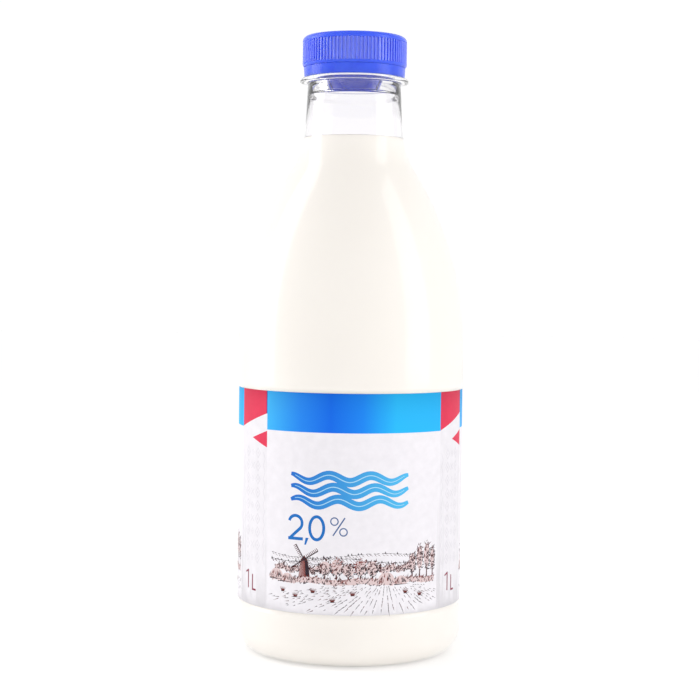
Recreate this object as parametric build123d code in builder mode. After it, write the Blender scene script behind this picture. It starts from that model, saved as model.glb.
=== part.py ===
"""One-litre clear plastic milk bottle: a filled bottle with a wrap label and a ribbed screw cap.

Millimetres, +Z up. The origin is the centre of the foot ring, on the plane that the bottle stands on.
Each piece is a closed solid in a STEP file of its own. Nothing moves: the cap is screwed on and sealed.
"""

import os
from math import atan, degrees, hypot, sqrt

from build123d import *

# Body, measured on its outside, from the foot upwards
BODY_RADIUS = 44.0
HEEL_RADIUS = 9.6
LOWER_SIDE = 9.7  # straight side between the heel and the label's recess
UPPER_SIDE = 14.7  # straight side between the recess and the shoulder
NECK_HEIGHT = 220.9  # underside of the support ring
NECK_LENGTH = 26.7  # from there down to where the shoulder's arc would meet the neck
NECK_FILLET = 34.5  # hollow curve that blends the two
NECK_SLOPE = 0.05  # outward run of the neck for each millimetre down
WALL = 0.4

# Foot: a flat ring that the bottle stands on, round a dome stiffened by radial grooves
FOOT_WIDTH = 2.2
FOOT_ROUND = 1.6
DOME_HEIGHT = 7.0
GROOVE_COUNT = 8
GROOVE_RADIUS = 2.2
GROOVE_SINK = 0.9  # the groove's axis lies this far under the dome
GROOVE_INSET = 7.0  # from the foot ring, and from the gate, to the groove
GATE_RADIUS = 2.0  # moulding stub in the middle of the dome
GATE_HEIGHT = 1.0

# Label, and the recess that it lies in
LABEL_HEIGHT = 82.0
LABEL_MARGIN = 0.7  # bare recess above and below the label
LABEL_THICKNESS = 0.1
LABEL_GAP = 0.03
LABEL_LAP = 9.0  # width of the glued overlap at the back
LAP_ANGLE = 98.6  # direction of the overlap's middle, in degrees from +X
RECESS_DEPTH = 0.4
RECESS_SLOPE = 0.8  # height of the slope into the recess

# Finish: the moulded mouth above the neck, for a 38 mm cap
FINISH_RADIUS = 18.0
FINISH_HEIGHT = 15.0  # from the support ring to the lip
FINISH_WALL = 2.1
NECK_STEP = 0.1  # the neck is this much wider under the ring
THICK_DEPTH = 2.8  # the bore runs straight this far under the ring
THIN_DEPTH = 5.5  # and from here down the wall is thin
BORE_BLEND = 3.0
LIP_ROUND = 0.5
RING_WIDTH = 3.1
RING_THICKNESS = 1.6
RING_ROUND = 0.4
BEAD_RISE = 0.75  # bead that keeps the tamper band down
BEAD_HEIGHT = 1.5

# Thread of three starts, on the finish and inside the cap
STARTS = 3
LEAD = 10.5
THREAD_TURN = 105.0  # degrees that one ridge runs
THREAD_DEPTH = 4.0  # from the lip to the middle of a ridge's upper end
THREAD_RISE = 0.95
RIDGE_ROOT = 1.5
RIDGE_TIP = 0.6
CREST_GAP = 0.35  # from the cap's ridges to the finish
BORE_GAP = 0.2  # from the ridges of the finish to the cap
FLANK_GAP = 0.25
ROOT_SINK = 0.2  # each ridge reaches this far into its wall, so that they join

# Cap, seated on the lip
PLATE_THICKNESS = 1.5
CROWN_ROUND = 2.1
CROWN_EDGE = 0.2  # straight edge under the rounding
SKIRT_WALL = 0.6
RIB_COUNT = 86
RIB_RADIUS = 0.36
RIB_RISE = 0.55
RIM_HEIGHT = 1.1  # plain rim under the ribs, which slopes in to the tamper band

# Tamper band, joined to the cap by thin bridges
BAND_CLEARANCE = 0.55  # above the support ring
BAND_HEIGHT = 3.8
BAND_WALL = 0.8
BAND_TAPER = 0.25  # the band narrows by this towards its foot
BAND_BORE_GAP = 0.25  # round the bead
BAND_LIP_HEIGHT = 0.9
BAND_LIP_GRIP = 0.35  # the lip reaches this far in under the bead
BEAD_CLEARANCE = 0.35
SLIT = 0.15
BRIDGE_COUNT = 16
BRIDGE_WIDTH = 0.8

# Milk
ULLAGE = 21.1  # from the support ring down to the milk
MILK_GAP = 0.05

# Heights and radii that follow from those sizes
panel_bottom = HEEL_RADIUS + LOWER_SIDE + RECESS_SLOPE
label_bottom = panel_bottom + LABEL_MARGIN
label_top = label_bottom + LABEL_HEIGHT
panel_top = label_top + LABEL_MARGIN
shoulder_base = panel_top + RECESS_SLOPE + UPPER_SIDE
ring_top = NECK_HEIGHT + RING_THICKNESS
bottle_height = ring_top + FINISH_HEIGHT
panel_radius = BODY_RADIUS - RECESS_DEPTH
foot_radius = BODY_RADIUS - HEEL_RADIUS
foot_bore = foot_radius - FOOT_WIDTH
dome_radius = (foot_bore**2 + DOME_HEIGHT**2) / (2 * DOME_HEIGHT)
dome_centre = DOME_HEIGHT - dome_radius
neck_radius = FINISH_RADIUS + NECK_STEP
bore_radius = FINISH_RADIUS - FINISH_WALL
bead_radius = FINISH_RADIUS + BEAD_RISE
thread_top = bottle_height - THREAD_DEPTH
thread_climb = LEAD * THREAD_TURN / 360
band_bottom = ring_top + BAND_CLEARANCE
band_top = band_bottom + BAND_HEIGHT
band_bore = bead_radius + BAND_BORE_GAP
band_radius = band_bore + BAND_WALL
slit_top = band_top + SLIT
skirt_bore = FINISH_RADIUS + THREAD_RISE + BORE_GAP
skirt_radius = skirt_bore + SKIRT_WALL
rib_crest = skirt_radius + RIB_RISE


def neck_point(inset, depth):
    """A point on the neck's cone, that far under the ring, moved in by inset."""
    across = neck_radius + NECK_SLOPE * depth - inset * hypot(1, NECK_SLOPE)
    return (across, NECK_HEIGHT - depth)


# The shoulder is one arc, which leaves the side upright and runs to the neck
neck_foot = neck_point(0, NECK_LENGTH)
shoulder_run = BODY_RADIUS - neck_foot[0]
shoulder_rise = neck_foot[1] - shoulder_base
shoulder_radius = (shoulder_run**2 + shoulder_rise**2) / (2 * shoulder_run)
shoulder_centre = BODY_RADIUS - shoulder_radius


def shoulder_point(inset, height):
    """A point of the shoulder's arc, moved in by inset."""
    arc = shoulder_radius - inset
    return (shoulder_centre + sqrt(arc**2 - (height - shoulder_base) ** 2), height)


def dome_point(inset, across):
    """A point of the dome's arc, moved in by inset."""
    return (across, dome_centre + sqrt((dome_radius + inset) ** 2 - across**2))


def shoulder_meets_neck(inset):
    """Where the shoulder's arc and the neck's cone cross, both moved in by inset."""
    top = neck_point(inset, 0)
    across, up = top[0] - shoulder_centre, top[1] - shoulder_base
    square = 1 + NECK_SLOPE**2
    half = NECK_SLOPE * across - up
    rest = across**2 + up**2 - (shoulder_radius - inset) ** 2
    return neck_point(inset, (-half - sqrt(half**2 - square * rest)) / square)


def body_profile(inset, neck, roundings):
    """Half section of the bottle from the dome to the mouth, moved in by inset.

    neck holds the corners above the shoulder. roundings pairs a corner with its radius.
    """
    side = BODY_RADIUS - inset
    panel = panel_radius - inset
    dome_foot = sqrt((dome_radius + inset) ** 2 - (inset - dome_centre) ** 2)
    heel_reach = (HEEL_RADIUS - inset) * sqrt(0.5)
    meeting = shoulder_meets_neck(inset)
    with BuildSketch(Plane.XZ) as profile:
        with BuildLine():
            ThreePointArc(dome_point(inset, 0), dome_point(inset, dome_foot / 2), (dome_foot, inset))
            Line((dome_foot, inset), (foot_radius, inset))
            ThreePointArc(
                (foot_radius, inset),
                (foot_radius + heel_reach, HEEL_RADIUS - heel_reach),
                (side, HEEL_RADIUS),
            )
            Polyline(
                (side, HEEL_RADIUS),
                (side, panel_bottom - RECESS_SLOPE),
                (panel, panel_bottom),
                (panel, panel_top),
                (side, panel_top + RECESS_SLOPE),
                (side, shoulder_base),
            )
            middle = shoulder_point(inset, (shoulder_base + meeting[1]) / 2)
            ThreePointArc((side, shoulder_base), middle, meeting)
            Polyline(meeting, *neck, (0, neck[-1][1]), dome_point(inset, 0))
        make_face()
        blends = [(meeting, NECK_FILLET + inset), ((dome_foot, inset), FOOT_ROUND - inset)]
        for corner, radius in blends + roundings:
            fillet(profile.vertices().sort_by_distance(corner)[0], radius)
    return profile.sketch


def base_grooves(inset):
    """Cutters for the radial grooves of the dome, thicker by inset all round."""
    inner = dome_point(0, GATE_RADIUS + GROOVE_INSET)
    outer = dome_point(0, foot_bore - GROOVE_INSET)
    run, drop = outer[0] - inner[0], inner[1] - outer[1]
    middle = ((inner[0] + outer[0]) / 2, 0, (inner[1] + outer[1]) / 2 - GROOVE_SINK)
    length = hypot(run, drop)
    radius = GROOVE_RADIUS + inset
    with BuildPart() as groove:
        with Locations(Location(middle, (0, 90 + degrees(atan(drop / run)), 0))):
            Cylinder(radius, length)
            with Locations((0, 0, -length / 2), (0, 0, length / 2)):
                Sphere(radius)
    with BuildPart() as grooves:
        with PolarLocations(0, GROOVE_COUNT):
            add(groove.part)
    return grooves.part


def thread(root, rise, top):
    """Ridges of the thread on a wall of radius root, whose upper ends are centred at top.

    rise is how far they stand out from the wall, and is negative inside a bore.
    """
    bottom = top - thread_climb
    sunk = root - ROOT_SINK if rise > 0 else root + ROOT_SINK
    with BuildPart() as ridge:
        with BuildLine():
            path = Helix(LEAD, thread_climb, root, center=(0, 0, bottom))
        with BuildSketch(Plane.XZ):
            with BuildLine():
                Polyline(
                    (sunk, bottom - RIDGE_ROOT / 2),
                    (root, bottom - RIDGE_ROOT / 2),
                    (root + rise, bottom - RIDGE_TIP / 2),
                    (root + rise, bottom + RIDGE_TIP / 2),
                    (root, bottom + RIDGE_ROOT / 2),
                    (sunk, bottom + RIDGE_ROOT / 2),
                    close=True,
                )
            make_face()
        sweep(path=path, is_frenet=True)
    with BuildPart() as ridges:
        with PolarLocations(0, STARTS):
            add(ridge.part)
    return ridges.part


# Bottle: its outside with bead and thread, less its inside
lip = (FINISH_RADIUS, bottle_height)
ring_rim = [(FINISH_RADIUS + RING_WIDTH, NECK_HEIGHT), (FINISH_RADIUS + RING_WIDTH, ring_top)]
outer_neck = [neck_point(0, 0), *ring_rim, (FINISH_RADIUS, ring_top), lip]
outer_roundings = [(ring_rim[0], RING_ROUND), (ring_rim[1], RING_ROUND), (lip, LIP_ROUND)]

bore_foot = (bore_radius, NECK_HEIGHT - THICK_DEPTH)
thin_neck = neck_point(WALL, THIN_DEPTH)
inner_neck = [thin_neck, bore_foot, (bore_radius, bottle_height)]
inner_roundings = [(thin_neck, BORE_BLEND), (bore_foot, BORE_BLEND)]

bead_bottom = band_bottom + BAND_LIP_HEIGHT + BEAD_CLEARANCE
with BuildPart() as bottle:
    add(body_profile(0, outer_neck, outer_roundings))
    with BuildSketch(Plane.XZ):
        with BuildLine():
            Polyline(
                (FINISH_RADIUS - ROOT_SINK, bead_bottom),
                (FINISH_RADIUS, bead_bottom),
                (bead_radius, bead_bottom + BEAD_RISE / 2),
                (bead_radius, bead_bottom + BEAD_RISE),
                (FINISH_RADIUS, bead_bottom + BEAD_HEIGHT),
                (FINISH_RADIUS - ROOT_SINK, bead_bottom + BEAD_HEIGHT),
                close=True,
            )
        make_face()
    revolve(axis=Axis.Z)
    add(thread(FINISH_RADIUS, THREAD_RISE, thread_top))
    add(base_grooves(0), mode=Mode.SUBTRACT)
    with BuildPart(mode=Mode.PRIVATE) as inside:
        add(body_profile(WALL, inner_neck, inner_roundings))
        revolve(axis=Axis.Z)
        add(base_grooves(WALL), mode=Mode.SUBTRACT)
    add(inside.part, mode=Mode.SUBTRACT)
    with BuildSketch(Plane.XY.offset(DOME_HEIGHT - GATE_HEIGHT)):
        Circle(GATE_RADIUS)
    extrude(amount=GATE_HEIGHT + WALL / 2)

# Milk: what the inside holds, up to its level
milk_inset = WALL + MILK_GAP
with BuildPart() as milk:
    add(body_profile(milk_inset, [neck_point(milk_inset, THIN_DEPTH)], []))
    revolve(axis=Axis.Z)
    split(bisect_by=Plane.XY.offset(NECK_HEIGHT - ULLAGE), keep=Keep.BOTTOM)
    add(base_grooves(milk_inset), mode=Mode.SUBTRACT)

# Label: a sleeve with a glued overlap
label_bore = panel_radius + LABEL_GAP
label_radius = label_bore + LABEL_THICKNESS
lap_arc = degrees(LABEL_LAP / label_radius)
with BuildPart() as label:
    with BuildSketch(Plane.XY.offset(label_bottom)):
        Circle(label_radius)
        with BuildLine():
            lap_start = LAP_ANGLE - lap_arc / 2
            inner_arc = CenterArc((0, 0), label_bore, lap_start, lap_arc)
            outer_arc = CenterArc((0, 0), label_radius + LABEL_THICKNESS, lap_start, lap_arc)
            Line(inner_arc @ 0, outer_arc @ 0)
            Line(inner_arc @ 1, outer_arc @ 1)
        make_face()
        Circle(label_bore, mode=Mode.SUBTRACT)
    extrude(amount=LABEL_HEIGHT)

# Cap: ribbed skirt, rounded crown and sloping rim, hollowed and threaded, then the tamper band
with BuildPart() as cap:
    crown_bottom = bottle_height + PLATE_THICKNESS - CROWN_ROUND - CROWN_EDGE
    with BuildSketch(Plane.XY.offset(slit_top + RIM_HEIGHT)):
        Circle(skirt_radius)
        with PolarLocations(rib_crest - RIB_RADIUS, RIB_COUNT):
            Circle(RIB_RADIUS)
    extrude(amount=crown_bottom - slit_top - RIM_HEIGHT)
    with BuildSketch(Plane.XY.offset(crown_bottom)):
        Circle(rib_crest)
    extrude(amount=CROWN_EDGE + CROWN_ROUND)
    fillet(cap.edges().group_by(Axis.Z)[-1], CROWN_ROUND)
    with BuildSketch(Plane.XZ):
        with BuildLine():
            Polyline(
                (0, slit_top),
                (band_radius, slit_top),
                (rib_crest, slit_top + RIM_HEIGHT),
                (0, slit_top + RIM_HEIGHT),
                close=True,
            )
        make_face()
    revolve(axis=Axis.Z)
    with BuildSketch(Plane.XY.offset(slit_top)):
        Circle(skirt_bore)
    extrude(amount=bottle_height - slit_top, mode=Mode.SUBTRACT)
    thread_drop = (RIDGE_ROOT + RIDGE_TIP) / 2 + FLANK_GAP
    add(thread(skirt_bore, FINISH_RADIUS + CREST_GAP - skirt_bore, thread_top - thread_drop))
    with BuildSketch(Plane.XZ):
        with BuildLine():
            Polyline(
                (band_bore, band_top),
                (band_radius, band_top),
                (band_radius - BAND_TAPER, band_bottom),
                (bead_radius - BAND_LIP_GRIP, band_bottom),
                (bead_radius - BAND_LIP_GRIP, band_bottom + BAND_LIP_HEIGHT / 2),
                (band_bore, band_bottom + BAND_LIP_HEIGHT),
                close=True,
            )
        make_face()
    revolve(axis=Axis.Z)
    bridge_depth = band_radius - skirt_bore
    with BuildSketch(Plane.XY.offset(band_top - SLIT / 2)):
        with PolarLocations(skirt_bore + bridge_depth / 2, BRIDGE_COUNT):
            Rectangle(bridge_depth, BRIDGE_WIDTH)
    extrude(amount=2 * SLIT)

os.makedirs("parts", exist_ok=True)
for piece, name in ((bottle, "bottle"), (milk, "milk"), (label, "label"), (cap, "cap")):
    piece.part.label = name
    export_step(piece.part, f"parts/{name}.step")
    print(name, len(piece.part.solids()), "solid,", round(piece.part.volume / 1000, 2), "ml")
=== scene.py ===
"""Looks of the one-litre clear plastic milk bottle: shell, milk, printed label and cap. Metres."""
import math
import random

import bmesh
import bpy
from mathutils import Matrix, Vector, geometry


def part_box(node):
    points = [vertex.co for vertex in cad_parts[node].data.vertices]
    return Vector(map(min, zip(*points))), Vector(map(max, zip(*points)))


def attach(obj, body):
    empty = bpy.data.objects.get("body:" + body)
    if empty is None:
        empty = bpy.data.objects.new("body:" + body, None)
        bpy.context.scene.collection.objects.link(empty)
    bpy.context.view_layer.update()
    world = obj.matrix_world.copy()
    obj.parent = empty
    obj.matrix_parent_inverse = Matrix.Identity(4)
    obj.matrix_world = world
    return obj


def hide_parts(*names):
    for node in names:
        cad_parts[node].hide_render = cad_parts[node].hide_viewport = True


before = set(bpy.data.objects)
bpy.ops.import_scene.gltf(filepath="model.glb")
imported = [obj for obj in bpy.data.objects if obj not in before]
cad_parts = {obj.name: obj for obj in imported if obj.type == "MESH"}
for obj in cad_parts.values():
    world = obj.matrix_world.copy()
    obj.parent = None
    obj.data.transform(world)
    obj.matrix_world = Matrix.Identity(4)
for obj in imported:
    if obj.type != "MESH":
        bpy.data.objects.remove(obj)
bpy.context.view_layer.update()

MM = 0.001

# Places of the frame's own pieces, which every mesh below follows
BOTTLE_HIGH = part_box("bottle")[1]
MILK_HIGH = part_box("milk")[1]
LABEL_LOW, LABEL_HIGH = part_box("label")
CAP_LOW, CAP_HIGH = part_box("cap")

BODY_RADIUS = BOTTLE_HIGH[0]
LIP_HEIGHT = BOTTLE_HIGH[2]
LABEL_BOTTOM, LABEL_TOP = LABEL_LOW[2], LABEL_HIGH[2]
LABEL_RADIUS = LABEL_HIGH[0]
MILK_TOP = MILK_HIGH[2]
CAP_BOTTOM, CAP_TOP = CAP_LOW[2], CAP_HIGH[2]
RIB_CREST = CAP_HIGH[0]

# Bottle, in the same sizes as its solid
HEEL = 9.6 * MM
WALL = 0.4 * MM
RECESS_DEPTH = 0.4 * MM
RECESS_SLOPE = 0.8 * MM
LABEL_MARGIN = 0.7 * MM
UPPER_SIDE = 14.7 * MM
FINISH_RADIUS = 18.0 * MM
FINISH_HEIGHT = 15.0 * MM
FINISH_WALL = 2.1 * MM
LIP_ROUND = 0.5 * MM
NECK_STEP = 0.1 * MM
NECK_SLOPE = 0.05
NECK_LENGTH = 26.7 * MM
NECK_FILLET = 34.5 * MM
RING_THICKNESS = 1.6 * MM
RING_WIDTH = 3.1 * MM
RING_ROUND = 0.4 * MM
THICK_DEPTH = 2.8 * MM
THIN_DEPTH = 5.5 * MM
BORE_BLEND = 0.6 * MM  # the bore keeps its two radii this far into the taper between them
FOOT_WIDTH = 2.2 * MM
DOME_HEIGHT = 7.0 * MM
GROOVE_COUNT = 8
GROOVE_RADIUS = 2.2 * MM
GROOVE_SINK = 0.9 * MM
GROOVE_INSET = 7.0 * MM
GATE_RADIUS = 2.0 * MM
GATE_HEIGHT = 1.0 * MM

# Bead and thread of the finish, under the cap
BEAD_DEPTH = 1.8 * MM  # from the ring up to the bead
BEAD_RISE = 0.75 * MM
BEAD_HEIGHT = 1.5 * MM
THREAD_STARTS = 3
THREAD_LEAD = 10.5 * MM
THREAD_TURN = math.radians(105)
THREAD_DEPTH = 4.0 * MM
THREAD_RISE = 0.95 * MM
THREAD_ROOT = 1.5 * MM
THREAD_TIP = 0.6 * MM

# Cap
CROWN_ROUND = 2.1 * MM
CROWN_EDGE = 0.2 * MM
SKIRT_WALL = 0.6 * MM
RIB_COUNT = 86
RIB_RADIUS = 0.36 * MM
RIB_RISE = 0.55 * MM
RIM_HEIGHT = 1.1 * MM
BAND_HEIGHT = 3.8 * MM
BAND_RADIUS = RIB_CREST - 0.5 * MM
BAND_TAPER = 0.25 * MM
BAND_WALL = 0.8 * MM
BAND_LIP_HEIGHT = 0.9 * MM
BAND_LIP_GRIP = 0.6 * MM  # the inner lip's reach into the band's bore
SLIT = 0.15 * MM
BRIDGE_COUNT = 16
BRIDGE_WIDTH = 0.8 * MM

# Label
LABEL_THICKNESS = 0.1 * MM
LABEL_LAP = 9.0 * MM
MILK_REACH = 0.12 * MM  # the milk reaches this far into the wall, so that no gap shows

RING_BOTTOM = LIP_HEIGHT - FINISH_HEIGHT - RING_THICKNESS
RING_TOP = RING_BOTTOM + RING_THICKNESS
SHOULDER_BASE = LABEL_TOP + LABEL_MARGIN + RECESS_SLOPE + UPPER_SIDE
FOOT_RADIUS = BODY_RADIUS - HEEL
FOOT_BORE = FOOT_RADIUS - FOOT_WIDTH
DOME_RADIUS = (FOOT_BORE**2 + DOME_HEIGHT**2) / (2 * DOME_HEIGHT)
DOME_CENTRE = DOME_HEIGHT - DOME_RADIUS
SLIT_BOTTOM = CAP_BOTTOM + BAND_HEIGHT
SLIT_TOP = SLIT_BOTTOM + SLIT
RIB_ROOT = RIB_CREST - RIB_RISE
SKIRT_BORE = RIB_ROOT - SKIRT_WALL

BOTTLE_STEPS = 192  # steps round the bottle


# ---------------------------------------------------------------- profiles

def arc(centre, radius, start, end, steps):
    """Points of an arc, in degrees from outward to up."""
    points = []
    for i in range(steps + 1):
        a = math.radians(start + (end - start) * i / steps)
        points.append((centre[0] + radius * math.cos(a), centre[1] + radius * math.sin(a)))
    return points


def run(start, end, steps):
    """Points of a straight run, without its two ends."""
    points = []
    for i in range(1, steps):
        t = i / steps
        points.append((start[0] + (end[0] - start[0]) * t, start[1] + (end[1] - start[1]) * t))
    return points


def neck_point(inset, depth):
    """A point on the neck's cone, that far under the ring, moved in by inset."""
    across = FINISH_RADIUS + NECK_STEP + NECK_SLOPE * depth - inset * math.hypot(1, NECK_SLOPE)
    return (across, RING_BOTTOM - depth)


NECK_FOOT = neck_point(0, NECK_LENGTH)
SHOULDER_RUN = BODY_RADIUS - NECK_FOOT[0]
SHOULDER_RISE = NECK_FOOT[1] - SHOULDER_BASE
SHOULDER_RADIUS = (SHOULDER_RUN**2 + SHOULDER_RISE**2) / (2 * SHOULDER_RUN)
SHOULDER_CENTRE = (BODY_RADIUS - SHOULDER_RADIUS, SHOULDER_BASE)


def fillet_centre():
    """Centre of the hollow curve: NECK_FILLET outside the neck's cone and the shoulder's arc."""
    slant = math.hypot(1, NECK_SLOPE)
    start = (FINISH_RADIUS + NECK_STEP + NECK_FILLET * slant, RING_BOTTOM)
    across, up = start[0] - SHOULDER_CENTRE[0], start[1] - SHOULDER_CENTRE[1]
    square = 1 + NECK_SLOPE**2
    half = NECK_SLOPE * across - up
    rest = across**2 + up**2 - (SHOULDER_RADIUS + NECK_FILLET) ** 2
    depth = (-half - math.sqrt(half**2 - square * rest)) / square
    return (start[0] + NECK_SLOPE * depth, RING_BOTTOM - depth)


def shoulder(inset, steps=40):
    """The shoulder's arc and the hollow curve above it, moved in by inset."""
    centre = fillet_centre()
    toward = math.degrees(math.atan2(centre[1] - SHOULDER_CENTRE[1], centre[0] - SHOULDER_CENTRE[0]))
    cone = 180 + math.degrees(math.atan(NECK_SLOPE))
    points = arc(SHOULDER_CENTRE, SHOULDER_RADIUS - inset, 0, toward, steps)
    return points + arc(centre, NECK_FILLET + inset, 180 + toward, cone, steps // 2)[1:]


def neck_at(inset, height):
    """Radius of the shoulder or the neck at a height, moved in by inset."""
    points = shoulder(inset) + [neck_point(inset, 0)]
    for low, high in zip(points, points[1:]):
        if low[1] <= height <= high[1]:
            t = (height - low[1]) / (high[1] - low[1])
            return low[0] + (high[0] - low[0]) * t
    raise ValueError("height is off the shoulder")


def dome(inset, steps=24):
    """Half section of the raised dome, from the middle out to the foot ring."""
    radius = DOME_RADIUS + inset
    reach = math.sqrt(radius**2 - (inset - DOME_CENTRE) ** 2)
    edge = reach * 0.985  # the rest is rounded over into the foot ring
    points = []
    for i in range(steps + 1):
        across = edge * i / steps
        points.append((across, DOME_CENTRE + math.sqrt(radius**2 - across**2)))
    points.append((reach + (FOOT_RADIUS - reach) * 0.25, inset + 0.02 * MM))
    return points


def body(inset):
    """Half section of the body from the dome's middle to the top of the hollow curve."""
    side, panel = BODY_RADIUS - inset, BODY_RADIUS - RECESS_DEPTH - inset
    low, high = LABEL_BOTTOM - LABEL_MARGIN, LABEL_TOP + LABEL_MARGIN
    soft, bend = 0.3 * MM, 0.02 * MM
    points = dome(inset)
    points.append((FOOT_RADIUS - 0.5 * MM, inset))
    points += arc((FOOT_RADIUS, HEEL), HEEL - inset, -90, 0, 16)
    points += [(side, low - RECESS_SLOPE - soft), (side - bend, low - RECESS_SLOPE)]
    points += [(panel + bend, low), (panel, low + soft)]
    points += [(panel, high - soft), (panel + bend, high)]
    points += [(side - bend, high + RECESS_SLOPE), (side, high + RECESS_SLOPE + soft)]
    return points + shoulder(inset)


def finish():
    """Half section of the outside above the neck: support ring, bead and threaded wall."""
    wall, ring = FINISH_RADIUS, FINISH_RADIUS + RING_WIDTH
    soft = 0.2 * MM
    bead = RING_TOP + BEAD_DEPTH
    points = [(wall + NECK_STEP, RING_BOTTOM - soft), (wall + NECK_STEP + soft, RING_BOTTOM)]
    points += arc((ring - RING_ROUND, RING_BOTTOM + RING_ROUND), RING_ROUND, -90, 0, 5)
    points += arc((ring - RING_ROUND, RING_TOP - RING_ROUND), RING_ROUND, 0, 90, 5)
    points += [(wall + soft, RING_TOP), (wall, RING_TOP + soft), (wall, bead)]
    points += [(wall + BEAD_RISE, bead + BEAD_RISE / 2), (wall + BEAD_RISE, bead + BEAD_RISE)]
    foot, head = (wall, bead + BEAD_HEIGHT), (wall, LIP_HEIGHT - LIP_ROUND)
    points += [foot] + run(foot, head, 36)
    return points + arc((wall - LIP_ROUND, LIP_HEIGHT - LIP_ROUND), LIP_ROUND, 0, 90, 5)


def bore(steps=14):
    """Half section of the inside from the lip down to where the wall is thin."""
    thick = (FINISH_RADIUS - FINISH_WALL, RING_BOTTOM - THICK_DEPTH - BORE_BLEND)
    thin = neck_point(WALL, THIN_DEPTH - BORE_BLEND)
    points = [(thick[0], LIP_HEIGHT)]
    for i in range(steps + 1):
        t = i / steps
        ease = t * t * (3 - 2 * t)
        points.append((thick[0] + (thin[0] - thick[0]) * ease, thick[1] + (thin[1] - thick[1]) * t))
    return points


def split_at(points, height):
    """The same outline with a point added wherever it crosses a height."""
    out = [points[0]]
    for low, high in zip(points, points[1:]):
        if (low[1] - height) * (high[1] - height) < 0:
            t = (height - low[1]) / (high[1] - low[1])
            out.append((low[0] + (high[0] - low[0]) * t, height))
        out.append(high)
    return out


def groove_lift(across, turn):
    """How far a groove of the dome reaches up at a place."""
    sector = 2 * math.pi / GROOVE_COUNT
    aside = (turn + sector / 2) % sector - sector / 2
    along, off = across * math.cos(aside), across * math.sin(aside)
    low, high = GATE_RADIUS + GROOVE_INSET, FOOT_BORE - GROOVE_INSET
    away = math.hypot(off, max(low - along, along - high, 0))
    if away >= GROOVE_RADIUS:
        return 0.0
    return max(0.0, math.sqrt(GROOVE_RADIUS**2 - away**2) - GROOVE_SINK)


def thread_rise(turn, height):
    """How far the three-start thread stands out from the finish at a place."""
    bottom = LIP_HEIGHT - THREAD_DEPTH - THREAD_LEAD * THREAD_TURN / (2 * math.pi)
    for start in range(THREAD_STARTS):
        along = (turn - 2 * math.pi * start / THREAD_STARTS) % (2 * math.pi)
        if along <= THREAD_TURN:
            away = abs(height - bottom - THREAD_LEAD * along / (2 * math.pi))
            flank = (THREAD_ROOT / 2 - away) / ((THREAD_ROOT - THREAD_TIP) / 2)
            return THREAD_RISE * min(max(flank, 0.0), 1.0)
    return 0.0


# ---------------------------------------------------------------- meshes

def new_piece(name, verts, faces, smooth=True):
    mesh = bpy.data.meshes.new(name)
    mesh.from_pydata(verts, [], faces)
    mesh.validate()
    mesh.update()
    if smooth:
        mesh.polygons.foreach_set("use_smooth", [True] * len(mesh.polygons))
    piece = bpy.data.objects.new(name, mesh)
    bpy.context.scene.collection.objects.link(piece)
    return piece


def even_turns(steps):
    return [2 * math.pi * i / steps for i in range(steps)]


def lathe(name, profile, turns, warp=None):
    """Revolve a half section. A point on the axis becomes a pole."""
    verts, rings = [], []
    for across, height in profile:
        if across < 1e-7:
            rings.append([len(verts)])
            verts.append((0.0, 0.0, height))
            continue
        ring = []
        for turn in turns:
            r, z = warp(across, height, turn) if warp else (across, height)
            ring.append(len(verts))
            verts.append((r * math.cos(turn), r * math.sin(turn), z))
        rings.append(ring)
    faces = []
    for low, high in zip(rings, rings[1:]):
        if len(low) == len(high) == 1:
            continue
        for i in range(len(turns)):
            j = (i + 1) % len(turns)
            if len(low) == 1:
                faces.append((low[0], high[j], high[i]))
            elif len(high) == 1:
                faces.append((low[i], low[j], high[0]))
            else:
                faces.append((low[i], low[j], high[j], high[i]))
    return new_piece(name, verts, faces)


# ---------------------------------------------------------------- materials

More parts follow.
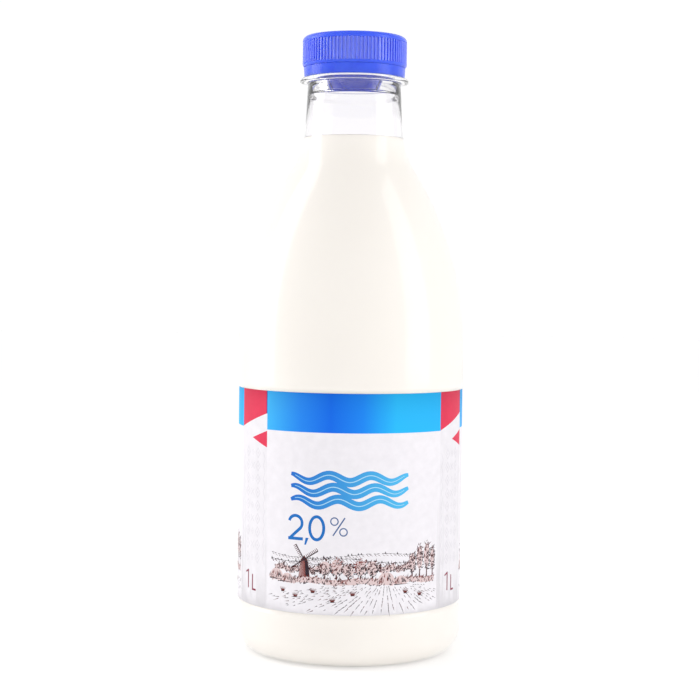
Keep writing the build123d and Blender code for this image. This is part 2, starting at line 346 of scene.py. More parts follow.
class Nodes:
    """A material's node tree, with short ways to add and join nodes."""

    def __init__(self, name):
        self.material = bpy.data.materials.new(name)
        self.material.use_nodes = True
        self.tree = self.material.node_tree
        self.shader = self.tree.nodes["Principled BSDF"]
        self.coords = None

    def add(self, kind, **values):
        node = self.tree.nodes.new(kind)
        for key, value in values.items():
            if key in node.inputs:
                node.inputs[key].default_value = value
            else:
                setattr(node, key, value)
        return node

    def join(self, source, target):
        self.tree.links.new(source, target)

    def place(self):
        if self.coords is None:
            self.coords = self.add("ShaderNodeTexCoord")
        return self.coords.outputs["Object"]

    def noise(self, scale, detail=3.0, stretch=(1, 1, 1)):
        mapping = self.add("ShaderNodeMapping")
        mapping.inputs["Scale"].default_value = stretch
        self.join(self.place(), mapping.inputs["Vector"])
        noise = self.add("ShaderNodeTexNoise", Scale=scale, Detail=detail)
        self.join(mapping.outputs["Vector"], noise.inputs["Vector"])
        return noise.outputs["Fac"]

    def math(self, operation, source, value):
        node = self.add("ShaderNodeMath", operation=operation)
        node.inputs[1].default_value = value
        self.join(source, node.inputs[0])
        return node.outputs[0]

    def ramp(self, source, stops):
        ramp = self.add("ShaderNodeValToRGB")
        elements = ramp.color_ramp.elements
        while len(elements) < len(stops):
            elements.new(0.5)
        for element, (position, colour) in zip(elements, stops):
            element.position = position
            element.color = (*colour, 1)
        self.join(source, ramp.inputs["Fac"])
        return ramp.outputs["Color"]

    def span(self, source, low, high):
        node = self.add("ShaderNodeMapRange")
        node.inputs["To Min"].default_value = low
        node.inputs["To Max"].default_value = high
        self.join(source, node.inputs["Value"])
        return node.outputs["Result"]

    def roughness(self, source, low, high):
        self.join(self.span(source, low, high), self.shader.inputs["Roughness"])

    def bump(self, source, strength, distance, *targets):
        node = self.add("ShaderNodeBump", Strength=strength, Distance=distance)
        self.join(source, node.inputs["Height"])
        for target in targets or ("Normal",):
            self.join(node.outputs["Normal"], self.shader.inputs[target])

    def set(self, **values):
        for key, value in values.items():
            self.shader.inputs[key.replace("_", " ")].default_value = value


def linear(r, g, b):
    """A screen colour, 0 to 255, as scene-linear values."""
    out = []
    for value in (r, g, b):
        value = value / 255
        out.append(value / 12.92 if value <= 0.04045 else ((value + 0.055) / 1.055) ** 2.4)
    return tuple(out)


def shade(colour, factor):
    return tuple(min(1.0, c * factor) for c in colour)


def moulded_plastic():
    """Thick moulded PET of the finish and the support ring."""
    n = Nodes("clear_pet_moulded")
    n.set(Base_Color=(1, 0.995, 1, 1), IOR=1.56, Transmission_Weight=1.0)
    n.roughness(n.noise(60, 2), 0.01, 0.05)
    n.bump(n.noise(45, 2), 0.12, 0.0004)
    return n.material


def blown_plastic():
    """Thin blown PET of the neck, faintly uneven along its height."""
    n = Nodes("clear_pet_blown")
    n.set(Base_Color=(0.985, 0.975, 0.99, 1), IOR=1.12, Transmission_Weight=1.0)
    n.set(Coat_Weight=1.0, Coat_IOR=1.56, Coat_Roughness=0.03)
    n.roughness(n.noise(60, 2, (1, 1, 0.3)), 0.01, 0.05)
    n.bump(n.noise(45, 2, (1, 1, 0.35)), 0.12, 0.0006, "Normal", "Coat Normal")
    return n.material


def wetted_plastic():
    """The same wall with milk against it: light passes straight in, and the outer face shines."""
    n = Nodes("clear_pet_filled")
    n.set(Base_Color=(1, 1, 1, 1), IOR=1.02, Transmission_Weight=1.0)
    n.set(Coat_Weight=1.0, Coat_IOR=1.56, Coat_Roughness=0.15)
    n.roughness(n.noise(60, 2, (1, 1, 0.3)), 0.01, 0.04)
    n.bump(n.noise(30, 2, (1, 1, 0.3)), 0.2, 0.0012, "Normal", "Coat Normal")
    return n.material


def milk():
    n = Nodes("milk_liquid")
    n.set(IOR=1.35)
    tone = n.ramp(n.noise(22, 3), [(0.3, (0.975, 0.928, 0.868)), (0.7, (0.99, 0.945, 0.888))])
    n.join(tone, n.shader.inputs["Base Color"])
    n.roughness(n.noise(90, 2), 0.18, 0.3)
    n.bump(n.noise(35, 1), 0.05, 0.0004)
    return n.material


def moulded_blue(name, low, high, coat):
    """Blue of the cap, a little translucent, with its gloss between two values of roughness."""
    n = Nodes(name)
    n.set(IOR=1.5, Specular_IOR_Level=0.6, Subsurface_Weight=0.6)
    n.set(Coat_Weight=coat, Coat_IOR=1.9, Coat_Roughness=0.04)
    n.set(Subsurface_Radius=(0.3, 0.45, 1.0), Subsurface_Scale=0.003)
    deep, light = (0.016, 0.078, 0.88), (0.024, 0.1, 0.96)
    n.join(n.ramp(n.noise(160, 3), [(0.35, deep), (0.65, light)]), n.shader.inputs["Base Color"])
    n.roughness(n.noise(400, 3), low, high)
    n.bump(n.noise(900, 2), 0.06, 0.0001)
    return n.material


def printed(name):
    """Satin varnish of the printed film, without its colour."""
    n = Nodes(name)
    n.set(IOR=1.48, Specular_IOR_Level=0.1)
    n.roughness(n.noise(80, 2, (1, 1, 0.4)), 0.4, 0.55)
    n.bump(n.noise(60, 2, (1, 1, 0.4)), 0.06, 0.0003)
    return n


def ink(name, colour, spread=0.03):
    """Ink of one colour with slight mottling."""
    n = printed(name)
    stops = [(0.3, shade(colour, 1 - spread)), (0.7, shade(colour, 1 + spread))]
    n.join(n.ramp(n.noise(300, 3), stops), n.shader.inputs["Base Color"])
    return n.material


def graded_ink(name, stops):
    """Ink whose colour changes across each repeat of the print."""
    n = printed(name)
    n.join(n.ramp(across_repeat(n), stops), n.shader.inputs["Base Color"])
    return n.material


def across_repeat(n):
    """0 to 1 from left to right across one repeat of the print."""
    split = n.add("ShaderNodeSeparateXYZ")
    n.join(n.place(), split.inputs["Vector"])
    turn = n.add("ShaderNodeMath", operation="ARCTAN2")
    n.join(split.outputs["X"], turn.inputs[0])
    n.join(n.math("MULTIPLY", split.outputs["Y"], -1), turn.inputs[1])
    shifted = n.math("ADD", turn.outputs[0], math.radians(-REPEAT_START) + 2 * math.pi)
    return n.math("FRACT", n.math("DIVIDE", shifted, 2 * math.pi / REPEATS), 0)


# ---------------------------------------------------------------- label print

REPEATS = 3
REPEAT_START = -45.5  # degrees from the front's middle to the left edge of the front panel
PANEL_TURN = 96.5  # the panel's width; the strip fills the rest of the repeat
DEGREE = math.radians(1) * LABEL_RADIUS / MM  # millimetres of label per degree
SEAM_REPEAT = 2  # the repeat that begins at the glued seam

REPEAT_WIDTH = 360 / REPEATS * DEGREE
PANEL_LEFT = REPEAT_START * DEGREE
PANEL_RIGHT = PANEL_LEFT + PANEL_TURN * DEGREE
STRIP_RIGHT = PANEL_LEFT + REPEAT_WIDTH
STRIP_MIDDLE = (PANEL_RIGHT + STRIP_RIGHT) / 2
PRINT_BOTTOM, PRINT_TOP = LABEL_BOTTOM / MM, LABEL_TOP / MM
BAND_FOOT = 88.2
PICTURE_LEFT, PICTURE_RIGHT = -32.4, 36.6

# Each ink covers the ones before it
INKS = {
    "film": (0.835, 0.808, 0.845),
    "strip": (0.80, 0.775, 0.81),
    "band": None,
    "red": (0.73, 0.042, 0.096),
    "overprint": linear(70, 44, 126),
    "ornament": (0.715, 0.69, 0.73),
    "wave": None,
    "inline": linear(168, 214, 238),
    "digits": linear(36, 112, 190),
    "sign": linear(76, 104, 150),
    "mauve": linear(132, 34, 64),
    "tint": linear(220, 198, 198),
    "brick": linear(124, 54, 48),
    "brown": linear(84, 42, 42),
    "line": linear(52, 42, 50),
}
BAND_STOPS = [
    (0.0, linear(60, 178, 240)), (0.17, linear(38, 134, 236)), (0.30, linear(20, 107, 230)),
    (0.43, linear(30, 134, 240)), (0.57, linear(42, 184, 246)), (0.82, linear(38, 178, 242)),
]
WAVE_STOPS = [(0.12, linear(38, 108, 200)), (0.64, linear(84, 188, 236))]


class Print:
    """Flat shapes on the unrolled label, in millimetres, each over the ones before it."""

    def __init__(self):
        self.shapes = []

    def fill(self, colour, points):
        """A filled outline, turned to run counterclockwise."""
        area = 0.0
        for a, b in zip(points, points[1:] + points[:1]):
            area += a[0] * b[1] - b[0] * a[1]
        self.shapes.append((list(INKS).index(colour), points if area > 0 else points[::-1]))

    def covers(self, index, x, y):
        """Whether a place lies in a shape: a line from it crosses the outline an odd number of times."""
        points = self.shapes[index][1]
        odd = False
        for a, b in zip(points, points[1:] + points[:1]):
            if (a[1] > y) != (b[1] > y) and x < a[0] + (b[0] - a[0]) * (y - a[1]) / (b[1] - a[1]):
                odd = not odd
        return odd

    def rectangle(self, colour, left, bottom, right, top):
        self.fill(colour, [(left, bottom), (right, bottom), (right, top), (left, top)])

    def line(self, colour, points, widths):
        """A smooth line along points, of even width or with one width for each point."""
        if not isinstance(widths, list):
            widths = [widths] * len(points)
        left, right = [], []
        for i, (point, width) in enumerate(zip(points, widths)):
            before, after = points[max(i - 1, 0)], points[min(i + 1, len(points) - 1)]
            dx, dy = after[0] - before[0], after[1] - before[1]
            half = width / 2 / math.hypot(dx, dy)
            left.append((point[0] - dy * half, point[1] + dx * half))
            right.append((point[0] + dy * half, point[1] - dx * half))
        self.fill(colour, left + right[::-1])

    def tick(self, colour, x, y, lean, length, width):
        """One engraved stroke: a thin wedge from a place, leaning by degrees from level."""
        dx, dy = math.cos(math.radians(lean)), math.sin(math.radians(lean))
        half = width / 2
        base = [(x - dy * half, y + dx * half), (x + dy * half, y - dx * half)]
        self.fill(colour, base + [(x + dx * length, y + dy * length)])

    def ellipse(self, colour, middle, across, up, steps=28):
        points = []
        for i in range(steps):
            a = 2 * math.pi * i / steps
            points.append((middle[0] + across * math.cos(a), middle[1] + up * math.sin(a)))
        self.fill(colour, points)


def wave(p, level, phase):
    """A ribbon of poured milk that swells and tapers, with a pale line along it."""
    left, length, swell, steps = -23.6, 47.2, 3.5, 56
    middle, widths, fine = [], [], []
    for i in range(1, steps):
        t = i / steps
        rise = 1.3 * math.sin(2 * math.pi * length * t / 15.5 + phase)
        middle.append((left + length * t, level + rise))
        widths.append(swell * math.sin(math.pi * t) ** 0.35)
        fine.append(0.36 * math.sin(math.pi * t) ** 0.35)
    p.line("wave", middle, widths)
    inner = slice(2, steps - 3)
    p.line("inline", middle[inner], fine[inner])


def digits(p):
    """2,0 % in thin round figures."""
    low, high, thick = 48.0, 57.7, 1.15
    middle, radius = -20.7, 2.75
    top = high - radius - thick / 2
    curve = []
    for i in range(15):
        a = math.radians(165 - 205 * i / 14)
        curve.append((middle + radius * math.cos(a), top + radius * math.sin(a)))
    curve.append((-23.1, low + thick / 2))
    p.line("digits", curve, thick)
    p.rectangle("digits", -23.8, low, -17.6, low + thick)
    p.fill("digits", [(-16.5, low + 1.1), (-15.3, low + 1.1), (-16.3, low - 1.5), (-17.0, low - 1.5)])
    centre, across, up = (-12.2, (low + high) / 2), 3.3, (high - low) / 2
    p.ellipse("digits", centre, across, up, 36)
    p.ellipse("film", centre, across - thick, up - thick, 36)
    for ring in ((-5.5, 55.6), (-2.1, 51.7)):
        p.ellipse("sign", ring, 1.6, 1.6)
        p.ellipse("film", ring, 1.15, 1.15)
    p.line("sign", [(-6.0, 50.3), (-1.6, 57.0)], 0.5)


def volume(p):
    """1 L in thin figures on the strip."""
    stem, foot, top, thick = STRIP_MIDDLE - 2.8, 26.9, 34.0, 0.72
    p.rectangle("mauve", stem - thick / 2, foot, stem + thick / 2, top)
    flag = [(stem - 2.1, top - 0.9), (stem - 2.0, top - 1.5), (stem, top - 0.7), (stem, top)]
    p.fill("mauve", flag)
    left, base, high = STRIP_MIDDLE + 0.1, 26.4, 32.5
    p.rectangle("mauve", left, base, left + thick, high)
    p.rectangle("mauve", left, base, left + 2.7, base + thick)


def diamond(p, middle, across, up):
    for colour, size in (("ornament", 1.0), ("strip", 0.72), ("ornament", 0.3)):
        x, y = middle
        a, b = across * size, up * size
        p.fill(colour, [(x - a, y), (x, y - b), (x + a, y), (x, y + b)])


def strip(p):
    """The narrow strip between two panels: red flag, small triangle and faint ornament."""
    left, right, top = PANEL_RIGHT, STRIP_RIGHT, PRINT_TOP
    p.rectangle("strip", left, PRINT_BOTTOM, right, top)
    p.fill("red", [(left, 88.3), (right, 94.3), (right, top), (left, top)])
    p.rectangle("overprint", right - 0.4, 94.2, right, top)
    p.fill("red", [(STRIP_MIDDLE - 0.3, 84.6), (right, 81.4), (right, 87.7)])
    rows, pitch, first, zigzag = 9, 5.0, 39.0, 2.5
    for i in range(rows):
        y = first + pitch * i
        for side in (-1, 1):
            diamond(p, (STRIP_MIDDLE + side * 3.6, y), 1.7, 2.2)
        if i % 2:
            for rise in (-1.2, 1.2):
                p.line("ornament", [(STRIP_MIDDLE - 1.2, y - rise), (STRIP_MIDDLE + 1.2, y + rise)], 0.35)
        else:
            diamond(p, (STRIP_MIDDLE, y), 1.0, 1.3)
    for edge in (left + 1.5, right - 1.5):
        for k in range(17):
            aside = 0.5 if k % 2 else -0.5
            y = first - 2 + zigzag * k
            p.line("ornament", [(edge - aside, y), (edge + aside, y + zigzag)], 0.3)


# Country drawing, in millimetres on the label. Ridges have a level, rise, length and phase, poplars a place,
# half width and height, haystacks a place, base and half width, and sheaves a place and base.
RIDGES = [(42.6, 1.1, 9.0, 0.4), (40.9, 1.0, 7.0, 2.0), (39.2, 0.8, 11.0, 4.0)]
POPLARS = [(25.0, 1.7, 11.6), (28.4, 1.9, 14.0), (31.9, 1.8, 15.0), (35.0, 1.4, 12.4)]
ORCHARD = [-8.9, -4.6, -0.2, 4.4, 8.8]
HAYSTACKS = [(-29.0, 32.9, 3.1), (-24.0, 32.2, 2.6), (14.2, 32.6, 3.3), (20.0, 32.0, 2.6)]
SHEAVES = [(-26, 28.4), (-20.5, 26.8), (-13.5, 28.8), (-6, 25.6), (1.5, 28.2), (22, 28.6), (28.5, 27.2)]
FIELD_FOOT = 21.6


class Engraving:
    """A generic country scene in short engraved strokes."""

    def __init__(self, p):
        self.p = p
        self.rng = random.Random(11)

    def foliage(self, x, y, across, up, colour, count):
        """A crown of leaves, darker towards its lower right."""
        self.p.ellipse("tint", (x, y), across * 0.8, up * 0.8, 16)
        for _ in range(count):
            turn, out = self.rng.uniform(0, 2 * math.pi), math.sqrt(self.rng.random())
            dx, dy = out * math.cos(turn), out * math.sin(turn)
            shaded = 0.6 * dx - 0.7 * dy + self.rng.uniform(-0.5, 0.5) > -0.05
            lean = 60 + self.rng.uniform(-60, 60)
            length, width = self.rng.uniform(0.8, 1.5), self.rng.uniform(0.3, 0.52)
            self.p.tick("line" if shaded else colour, x + dx * across, y + dy * up, lean, length, width)

    def tree(self, x, base, across, height, colour, count):
        """A round tree on a short trunk."""
        self.p.rectangle("brown", x - 0.25, base, x + 0.25, base + height * 0.4)
        self.foliage(x, base + height * 0.62, across, height * 0.38, colour, count)

    def hills(self):
        """Three ridges of broken lines, with hatching on their near sides."""
        for level, rise, length, phase in RIDGES:
            x = PICTURE_LEFT + 1
            while x < PICTURE_RIGHT - 2:
                y = level + rise * math.sin(x / length + phase)
                self.p.tick("line", x, y, self.rng.uniform(-8, 8), self.rng.uniform(1.0, 2.4), 0.26)
                self.p.tick("brown", x + 0.4, y - 0.4, self.rng.uniform(-50, -20), 1.2, 0.22)
                if self.rng.random() < 0.45:
                    self.p.tick("line", x, y, 90, self.rng.uniform(0.5, 1.0), 0.7)
                x += self.rng.uniform(1.1, 1.8)

    def mill(self, x, base):
        """A windmill: tapered tower, cap, and four latticed sails."""
        height, foot, head = 7.6, 2.4, 1.35
        outline = [(x - foot, base), (x + foot, base), (x + head, base + height), (x - head, base + height)]
        self.p.fill("tint", outline)
        for k in range(16):
            t = k / 15
            dark = "line" if t > 0.6 else "brick"
            start, tip = x - foot + 2 * foot * t, x - head + 2 * head * t
            self.p.line(dark, [(start, base), (tip, base + height)], [0.16 + 0.2 * t, 0.12 + 0.1 * t])
        self.p.fill("brown", [(x - 1.6, base + height), (x + 1.6, base + height), (x, base + height + 2)])
        self.p.rectangle("line", x - 0.5, base, x + 0.5, base + 1.8)
        hub = (x, base + height + 0.4)
        for k in range(4):
            a = math.radians(32 + 90 * k)
            along, aside = (math.cos(a), math.sin(a)), (-math.sin(a), math.cos(a))
            tip = (hub[0] + 6.4 * along[0], hub[1] + 6.4 * along[1])
            self.p.line("line", [hub, tip], 0.4)
            for j in range(8):
                t = 1.6 + 0.68 * j
                start = (hub[0] + t * along[0], hub[1] + t * along[1])
                self.p.line("brown", [start, (start[0] + 1.2 * aside[0], start[1] + 1.2 * aside[1])], 0.26)

    def haystack(self, x, base, size):
        """A rounded stack, darker on its right."""
        outline = []
        for k in range(13):
            a = math.pi * k / 12
            outline.append((x + size * math.cos(a), base + size * 1.25 * math.sin(a) ** 0.75))
        self.p.fill("tint", outline)
        for k in range(26):
            t = self.rng.uniform(-0.95, 0.95)
            y = base + size * self.rng.uniform(0, 0.85) * math.sqrt(1 - t * t)
            dark = "line" if t > 0.25 else ("brick" if k % 2 else "brown")
            self.p.tick(dark, x + t * size, y, 90 + 35 * t, size * 0.45, 0.34)
        self.p.tick("line", x - size, base, 0, size * 2.6, 0.4)

    def sheaf(self, x, base):
        """A bound sheaf of corn, with a small shadow."""
        for k in range(9):
            lean = 90 + 8 * (k - 4)
            self.p.tick("brown" if k % 2 else "brick", x - 0.1 * (k - 4), base, lean, 2.0, 0.3)
        self.p.tick("line", x - 0.7, base, 0, 2.6, 0.35)

    def hedge(self, level):
        """A dense row of bushes across the whole picture."""
        x = PICTURE_LEFT + 0.8
        while x < PICTURE_RIGHT - 0.8:
            y = level + 0.4 * math.sin(x / 3)
            colour = self.rng.choice(["brown", "brick", "brown"])
            self.foliage(x, y, 1.5, self.rng.uniform(1.0, 1.7), colour, 9)
            x += self.rng.uniform(1.1, 1.6)

    def field(self, vanish, top):
        """Furrows that run from one far point to the uneven lower edge of the picture."""
        furrows, first, spread = 40, PICTURE_LEFT - 22, 113
        for k in range(furrows):
            foot = first + spread * (k + self.rng.uniform(-0.2, 0.2)) / (furrows - 1)
            lean = math.degrees(math.atan2(FIELD_FOOT - vanish[1], foot - vanish[0]))
            t = 0.02  # share of the way from the far point
            while t < 1:
                x, y = vanish[0] + (foot - vanish[0]) * t, vanish[1] + (FIELD_FOOT - vanish[1]) * t
                edge = FIELD_FOOT + 0.3 + 4.2 * ((x - 2) / 34) ** 4
                if PICTURE_LEFT < x < PICTURE_RIGHT and edge < y < top:
                    colour = "line" if self.rng.random() < 0.7 else "brown"
                    length = self.rng.uniform(0.8, 2.2) * (0.5 + t)
                    if self.rng.random() < 0.8:
                        self.p.tick(colour, x, y, lean + self.rng.uniform(-9, 9), length, 0.18 + 0.14 * t)
                t += self.rng.uniform(0.05, 0.1)

    def draw(self):
        """The whole scene, from the far hills to the field in front."""
        self.hills()
        for k in range(9):
            self.foliage(-28.5 + 2.1 * k, 37.2 + 0.5 * math.sin(1.7 * k), 1.5, 1.5, "brown", 18)
        for k in range(8):
            self.foliage(8.5 + 2.1 * k, 38.0 + 0.5 * math.sin(2.1 * k), 1.5, 1.6, "brown", 18)
        for x, across, height in POPLARS:
            self.tree(x, 32.6, across, height, "brown", 62)
        for k, x in enumerate(ORCHARD):
            colour = "brick" if k % 2 else "brown"
            self.tree(x, 32.8, 2.7, 8.6 + 1.0 * math.sin(2.3 * k), colour, 62)
        self.mill(-17.0, 33.0)
        self.field((14.0, 36.5), 31.6)
        self.hedge(33.2)
        for x, base, size in HAYSTACKS:
            self.haystack(x, base, size)
        for x, base in SHEAVES:
            self.sheaf(x, base)


def panel(p):
    """The wide panel: blue band, waves, figures and the country drawing."""
    p.rectangle("film", PANEL_LEFT, PRINT_BOTTOM, PANEL_RIGHT, PRINT_TOP)
    p.rectangle("band", PANEL_LEFT, BAND_FOOT, PANEL_RIGHT, PRINT_TOP)
    for i in range(3):
        wave(p, 67.0 + 4.4 * (i - 1), 0.7 * i)
    digits(p)
    Engraving(p).draw()


def flat_print(columns=48):
    """The print of one repeat as triangles, each with its ink, cut at upright lines for the curve."""
    p = Print()
    panel(p)
    strip(p)
    volume(p)
    verts, edges, faces = [], [], []
    for _, points in p.shapes:
        start = len(verts)
        verts += points
        faces.append(list(range(start, len(verts))))
    cuts = [PANEL_LEFT + REPEAT_WIDTH * i / columns for i in range(columns + 1)]
    for x in cuts:
        verts += [(x, PRINT_BOTTOM), (x, PRINT_TOP)]
        edges.append((len(verts) - 2, len(verts) - 1))
    # points where either border meets an ink, on both borders, so that the repeats join
    levels = {y for _, points in p.shapes for x, y in points if x in (PANEL_LEFT, STRIP_RIGHT)}
    verts += [(x, y) for y in sorted(levels) for x in (PANEL_LEFT, STRIP_RIGHT)]
    only_inside, close = 1, 2e-3
    cut = geometry.delaunay_2d_cdt(verts, edges, faces, only_inside, close)
    flat, triangles, origins = cut[0], cut[2], cut[5]
    kept = []
    for tri, origin in zip(triangles, origins):
        x, y = (sum(flat[i][axis] for i in tri) / 3 for axis in (0, 1))
        top = max((k for k in origin if p.covers(k, x, y)), default=min(origin))
        kept.append((tri, p.shapes[top][0]))
    return [tuple(v) for v in flat], kept


def sleeve(name):
    """The wrap as a closed sheet: printed outside, plain inside, its end lapped over its start."""
    flat, triangles = flat_print()
    total = REPEAT_WIDTH * REPEATS
    lap_start, lap_slope = total - LABEL_LAP / MM, 1.0
    verts, faces, inks, lookup, along = [], [], [], {}, []

    def vertex(s, y, inward=0.0):
        lift = min(max((s - lap_start) / lap_slope, 0.0), 1.0) * LABEL_THICKNESS
        r = LABEL_RADIUS + lift if inward == 0 else LABEL_RADIUS - inward
        key = (round(s * 1e3), round(y * 1e3), inward)
        if key not in lookup:
            lookup[key] = len(verts)
            turn = math.radians(REPEAT_START + 360 / REPEATS * SEAM_REPEAT + s / DEGREE)
            verts.append((r * math.sin(turn), -r * math.cos(turn), y * MM))
            along.append((s, y))
        return lookup[key]

    for repeat in range(REPEATS):
        for tri, ink_index in triangles:
            corners = []
            for index in tri:
                x, y = flat[index]
                corners.append(vertex(min(max(x - PANEL_LEFT, 0.0), REPEAT_WIDTH) + REPEAT_WIDTH * repeat, y))
            if len(set(corners)) == 3:
                faces.append(corners)
                inks.append(ink_index)

    printed_count = len(verts)

    def border(test, key):
        """The printed points that a test picks, in order along one axis."""
        return sorted((i for i in range(printed_count) if test(*along[i])), key=lambda i: along[i][key])

    close = 1e-3
    start = border(lambda s, y: s < close, 1)
    end = border(lambda s, y: s > total - close, 1)
    for a, b, c, d in zip(end, end[1:], start[1:], start):
        faces.append([a, d, c, b])
    chains = []
    for level, turned in ((PRINT_BOTTOM, True), (PRINT_TOP, False)):
        outer = border(lambda s, y: abs(y - level) < close, 0)
        inner = [vertex(along[i][0], level, LABEL_THICKNESS) for i in outer[:-1]]
        for i in range(len(outer) - 2):
            quad = [outer[i], outer[i + 1], inner[i + 1], inner[i]]
            faces.append(quad[::-1] if turned else quad)
        last = [outer[-2], outer[-1], outer[0], inner[0], inner[-1]]
        faces.append(last[::-1] if turned else last)
        chains.append(inner)
    low, high = chains  # the plain inner wall runs between the two rims
    i = j = 0
    while i < len(low) or j < len(high):
        low_next = along[low[i]][0] if i < len(low) else total
        high_next = along[high[j]][0] if j < len(high) else total
        a, b = low[i % len(low)], high[j % len(high)]
        if j >= len(high) or (i < len(low) and low_next <= high_next):
            faces.append([a, b, low[(i + 1) % len(low)]])
            i += 1
        else:
            faces.append([a, b, high[(j + 1) % len(high)]])
            j += 1
    piece = new_piece(name, verts, faces)
    for polygon, ink_index in zip(piece.data.polygons, inks):
        polygon.material_index = ink_index
    return piece


# ---------------------------------------------------------------- pieces

def make_bottle():
    outside = split_at(body(0) + finish(), MILK_TOP)
    inside = split_at(bore() + body(WALL)[::-1], MILK_TOP)
    threads = (RING_TOP + BEAD_DEPTH + BEAD_HEIGHT, LIP_HEIGHT - LIP_ROUND)

    def warp(across, height, turn):
        if across < FOOT_BORE and height < DOME_HEIGHT + 2 * WALL:
            height += groove_lift(across, turn)
            if across < GATE_RADIUS and height < DOME_HEIGHT + WALL / 2:
                height -= GATE_HEIGHT
        elif threads[0] < height < threads[1] and across > FINISH_RADIUS - WALL:
            across += thread_rise(turn, height)
        return across, height

    piece = lathe("bottle_shell", outside + inside, even_turns(BOTTLE_STEPS), warp)
    for material in (moulded_plastic(), blown_plastic(), wetted_plastic()):
        piece.data.materials.append(material)
    zones = (RING_BOTTOM - 0.1 * MM, MILK_TOP)
    for polygon in piece.data.polygons:
        polygon.material_index = sum(polygon.center.z <= level for level in zones)
    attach(piece, "root")
    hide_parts("bottle")


def make_milk():
    reach = WALL - MILK_REACH
    sink = 0.85 * MM  # the level lies this far under its edge, which clings to the wall
    rim = neck_at(reach, MILK_TOP)
    profile = [q for q in body(reach) if q[1] < MILK_TOP - 0.3 * MM]
    profile += [(rim, MILK_TOP - 0.25 * MM), (rim - 0.02 * MM, MILK_TOP)]
    for away, share in ((0.4, 0.35), (1.0, 0.65), (2.0, 0.88), (3.5, 0.98), (7.0, 1.0)):
        profile.append((rim - away * MM, MILK_TOP - share * sink))
    profile.append((0, MILK_TOP - sink))

    def warp(across, height, turn):
        if across < FOOT_BORE and height < DOME_HEIGHT + 2 * WALL:
            height += groove_lift(across, turn)
        return across, height

    piece = lathe("milk_body", profile, even_turns(BOTTLE_STEPS), warp)
    piece.data.materials.append(milk())
    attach(piece, "root")
    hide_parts("milk")


def make_label():
    piece = sleeve("label_wrap")
    for name, colour in INKS.items():
        if name == "band":
            material = graded_ink("ink_band", BAND_STOPS)
        elif name == "wave":
            material = graded_ink("ink_wave", WAVE_STOPS)
        else:
            material = ink("ink_" + name, colour)
        piece.data.materials.append(material)
    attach(piece, "root")
    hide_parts("label")


def rib_turns():
    """Turns of the cap's columns: close together over each rib, one in each valley."""
    offsets = [-0.40, -0.36, -0.30, -0.18, 0, 0.18, 0.30, 0.36, 0.40, 0.74]
    turns = []
    for i in range(RIB_COUNT):
        turns += [2 * math.pi * i / RIB_COUNT + offset * MM / RIB_CREST for offset in offsets]
    return turns


def from_nearest(turn, count):
    """Distance round the cap to the nearest of so many even places."""
    pitch = 2 * math.pi / count
    return abs((turn + pitch / 2) % pitch - pitch / 2) * RIB_CREST


def make_cap():
    soft = 0.2 * MM
    groove = SKIRT_BORE + 0.2 * MM
    band_foot, band_bore = BAND_RADIUS - BAND_TAPER, BAND_RADIUS - BAND_WALL
    lip = band_bore - BAND_LIP_GRIP
    rim_top = SLIT_TOP + RIM_HEIGHT
    ribs_top = CAP_TOP - CROWN_ROUND - CROWN_EDGE
    profile = [(0, LIP_HEIGHT), (SKIRT_BORE - soft, LIP_HEIGHT), (SKIRT_BORE, LIP_HEIGHT - soft)]
    profile += [(SKIRT_BORE, SLIT_TOP), (band_bore, SLIT_BOTTOM), (band_bore, CAP_BOTTOM + BAND_LIP_HEIGHT)]
    profile += [(lip, CAP_BOTTOM + BAND_LIP_HEIGHT / 2), (lip, CAP_BOTTOM)]
    profile += arc((band_foot - soft, CAP_BOTTOM + soft), soft, -90, 0, 4)
    profile += arc((BAND_RADIUS - soft / 2, SLIT_BOTTOM - soft / 2), soft / 2, 0, 90, 3)
    profile += [(groove, SLIT_BOTTOM), (groove, SLIT_TOP)]
    profile += arc((BAND_RADIUS - soft / 2, SLIT_TOP + soft / 2), soft / 2, -90, -30, 3)
    profile += arc((RIB_CREST - soft, rim_top - soft), soft, -10, 80, 5)
    first = rim_top + 0.02 * MM
    profile += [(RIB_CREST, first)] + run((RIB_CREST, first), (RIB_CREST, ribs_top), 8)
    profile += [(RIB_CREST, ribs_top - 0.25 * MM), (RIB_CREST, ribs_top), (RIB_CREST, ribs_top + 0.02 * MM)]
    profile += arc((RIB_CREST - CROWN_ROUND, CAP_TOP - CROWN_ROUND), CROWN_ROUND, 0, 90, 14)
    profile += [(RIB_CREST - CROWN_ROUND - 3 * MM, CAP_TOP), (0, CAP_TOP)]

    def warp(across, height, turn):
        if across == RIB_CREST and first <= height <= ribs_top:
            aside = from_nearest(turn, RIB_COUNT)
            across = RIB_ROOT
            if aside <= RIB_RADIUS * 1.001:
                across += RIB_RISE - RIB_RADIUS + math.sqrt(max(0.0, RIB_RADIUS**2 - aside**2))
        elif across == groove and from_nearest(turn, BRIDGE_COUNT) < BRIDGE_WIDTH / 2:
            across = BAND_RADIUS - soft / 2
        return across, height

    piece = lathe("cap_moulding", profile, rib_turns(), warp)
    piece.data.materials.append(moulded_blue("cap_blue", 0.2, 0.3, 0.0))
    piece.data.materials.append(moulded_blue("cap_blue_ribs", 0.07, 0.14, 1.0))
    for polygon in piece.data.polygons:
        ribbed = first < polygon.center.z < ribs_top and polygon.center.xy.length > SKIRT_BORE + soft
        polygon.material_index = 1 if ribbed else 0
    edges = bmesh.new()
    edges.from_mesh(piece.data)
    for edge in edges.edges:
        edge.smooth = edge.calc_face_angle(0) < math.radians(38)
    edges.to_mesh(piece.data)
    edges.free()
    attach(piece, "root")
    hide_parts("cap")


# ---------------------------------------------------------------- stage

DISTANCE = 666 * MM  # of the camera
EYE_HEIGHT = 143.9 * MM
WHITE = 1.03  # brightness of the surroundings


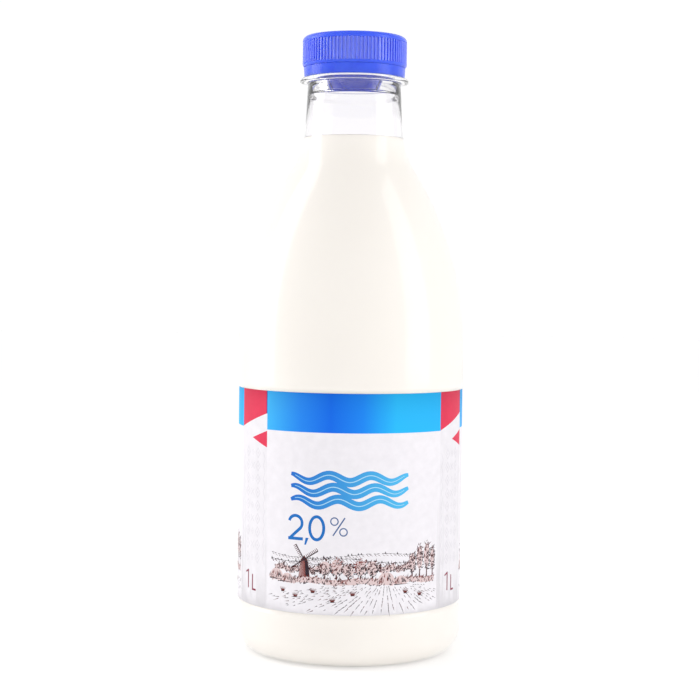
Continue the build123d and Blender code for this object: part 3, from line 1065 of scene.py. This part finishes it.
def make_floor():
    floor = new_piece("floor", [(-4, -4, 0), (4, -4, 0), (4, 4, 0), (-4, 4, 0)], [(0, 1, 2, 3)], False)
    n = Nodes("floor_white")
    n.set(Base_Color=(0.8, 0.8, 0.8, 1), Roughness=0.6, Specular_IOR_Level=0.2)
    n.set(Emission_Color=(1, 1, 1, 1), Emission_Strength=0.3)
    floor.data.materials.append(n.material)


def make_camera():
    data = bpy.data.cameras.new("camera")
    data.lens = 87.4
    data.sensor_width = 36
    camera = bpy.data.objects.new("camera", data)
    bpy.context.scene.collection.objects.link(camera)
    tilt = Matrix.Rotation(math.radians(90 - 2.3), 4, "X")
    roll = Matrix.Rotation(math.radians(0.68), 4, "Z")
    camera.matrix_world = Matrix.Translation((-0.5 * MM, -DISTANCE, EYE_HEIGHT)) @ tilt @ roll
    bpy.context.scene.camera = camera


def make_world():
    """White all round, and dimmer overhead."""
    world = bpy.data.worlds.new("studio")
    bpy.context.scene.world = world
    world.use_nodes = True
    tree = world.node_tree
    coords = tree.nodes.new("ShaderNodeTexCoord")
    split = tree.nodes.new("ShaderNodeSeparateXYZ")
    tree.links.new(coords.outputs["Generated"], split.inputs[0])
    fade = tree.nodes.new("ShaderNodeMapRange")
    fade.interpolation_type = "SMOOTHSTEP"
    for key, value in (("From Min", 0.35), ("From Max", 0.9), ("To Min", WHITE), ("To Max", 0.7 * WHITE)):
        fade.inputs[key].default_value = value
    tree.links.new(split.outputs["Z"], fade.inputs["Value"])
    back = tree.nodes["Background"]
    back.inputs["Color"].default_value = (1, 1, 1, 1)
    tree.links.new(fade.outputs[0], back.inputs["Strength"])


def softbox(side, middle, half, brightness):
    """An upright soft light. Its middle and half width are degrees round from the camera."""
    reach, height, centre = 0.8, 1.2, 0.62
    light = bpy.data.lights.new("softbox", "AREA")
    light.shape = "RECTANGLE"
    light.size, light.size_y = 2 * reach * math.tan(math.radians(half)), height
    light.energy = math.pi * light.size * light.size_y * brightness
    holder = bpy.data.objects.new("softbox", light)
    holder.visible_camera = False
    bpy.context.scene.collection.objects.link(holder)
    turn = side * math.radians(middle)
    where = (reach * math.sin(turn), -reach * math.cos(turn), centre)
    facing = Matrix.Rotation(turn, 4, "Z") @ Matrix.Rotation(math.radians(90), 4, "X")
    holder.matrix_world = Matrix.Translation(where) @ facing


make_bottle()
make_milk()
make_label()
make_cap()
make_floor()
make_camera()
make_world()
softbox(-1, 98, 16, 1.7)
softbox(1, 70, 14, 1.2)
bpy.context.scene.view_settings.view_transform = "Standard"
